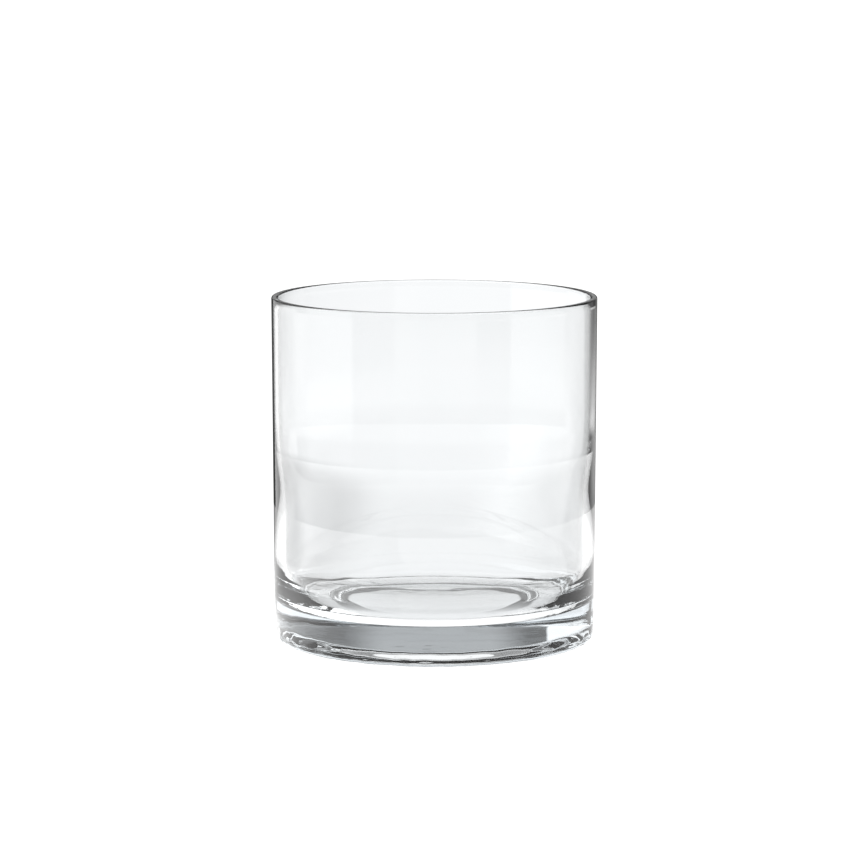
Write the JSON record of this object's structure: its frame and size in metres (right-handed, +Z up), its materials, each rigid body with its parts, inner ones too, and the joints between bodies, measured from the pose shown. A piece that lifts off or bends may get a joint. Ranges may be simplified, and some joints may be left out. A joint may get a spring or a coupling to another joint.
{
  "type": "glass cylinder vase",
  "caption": "Straight clear glass cylinder vase with a heavy base, open at the top, for cut flowers, floral arrangements or candles.",
  "frame": {"origin": "on the vase's axis, in the plane that it stands on", "axes": "+Z up along the vase's axis, out of its mouth; it is round, so +X and +Y are any two level directions"},
  "size_m": [0.113, 0.113, 0.12],
  "materials": {
    "clear_glass": "fire-polished clear soda-lime glass"
  },
  "bodies": {
    "root": {"wall_tube": "clear_glass", "base_disc": "clear_glass"}
  },
  "joints": []
}
